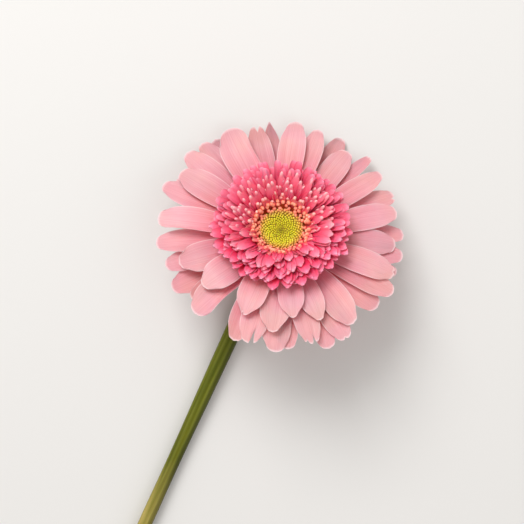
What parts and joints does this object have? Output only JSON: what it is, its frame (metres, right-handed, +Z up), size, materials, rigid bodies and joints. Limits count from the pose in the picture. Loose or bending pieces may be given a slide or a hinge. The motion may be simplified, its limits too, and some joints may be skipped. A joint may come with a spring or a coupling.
{
  "type": "cut gerbera",
  "caption": "Cut gerbera lying on its side: a long bare stem and a daisy head with overlapping pale pink petals, a deeper pink crest and a yellow-green centre.",
  "frame": {"origin": "middle of the foot of the flower's box, on the surface that it lies on", "axes": "+Z up from the surface, +Y along the stem from the cut end to the flower head, +X to the right of that"},
  "size_m": [0.0882, 0.3768, 0.0439],
  "materials": {
    "ray_petals": "soft satin petal, paler at the edge",
    "crest": "soft satin petal, pale tips",
    "disc_buds": "waxy closed buds",
    "bracts": "downy green",
    "stem": "ribbed, downy green, browner toward the cut"
  },
  "bodies": {
    "root": {"stem": "stem", "disc_florets": "disc_buds", "trans_florets_1": "crest", "trans_florets_2": "crest", "trans_florets_3": "crest", "trans_florets_4": "crest", "trans_florets_5": "crest", "bracts_1": "bracts", "bracts_2": "bracts", "ray_floret_01": "ray_petals", "ray_floret_02": "ray_petals", "ray_floret_03": "ray_petals", "ray_floret_04": "ray_petals", "ray_floret_05": "ray_petals", "ray_floret_06": "ray_petals", "ray_floret_07": "ray_petals", "ray_floret_08": "ray_petals", "ray_floret_09": "ray_petals", "ray_floret_10": "ray_petals", "ray_floret_11": "ray_petals", "ray_floret_12": "ray_petals", "ray_floret_13": "ray_petals", "ray_floret_14": "ray_petals", "ray_floret_15": "ray_petals", "ray_floret_16": "ray_petals", "ray_floret_17": "ray_petals", "ray_floret_18": "ray_petals", "ray_floret_19": "ray_petals", "ray_floret_20": "ray_petals", "ray_floret_21": "ray_petals", "ray_floret_22": "ray_petals", "ray_floret_23": "ray_petals", "ray_floret_24": "ray_petals", "ray_floret_25": "ray_petals", "ray_floret_26": "ray_petals", "ray_floret_27": "ray_petals", "ray_floret_28": "ray_petals", "ray_floret_29": "ray_petals", "ray_floret_30": "ray_petals", "ray_floret_31": "ray_petals", "ray_floret_32": "ray_petals", "ray_floret_33": "ray_petals", "ray_floret_34": "ray_petals", "ray_floret_35": "ray_petals", "ray_floret_36": "ray_petals", "ray_floret_37": "ray_petals", "ray_floret_38": "ray_petals", "ray_floret_39": "ray_petals", "ray_floret_40": "ray_petals", "ray_floret_41": "ray_petals", "ray_floret_42": "ray_petals", "ray_floret_43": "ray_petals", "ray_floret_44": "ray_petals"}
  },
  "joints": []
}
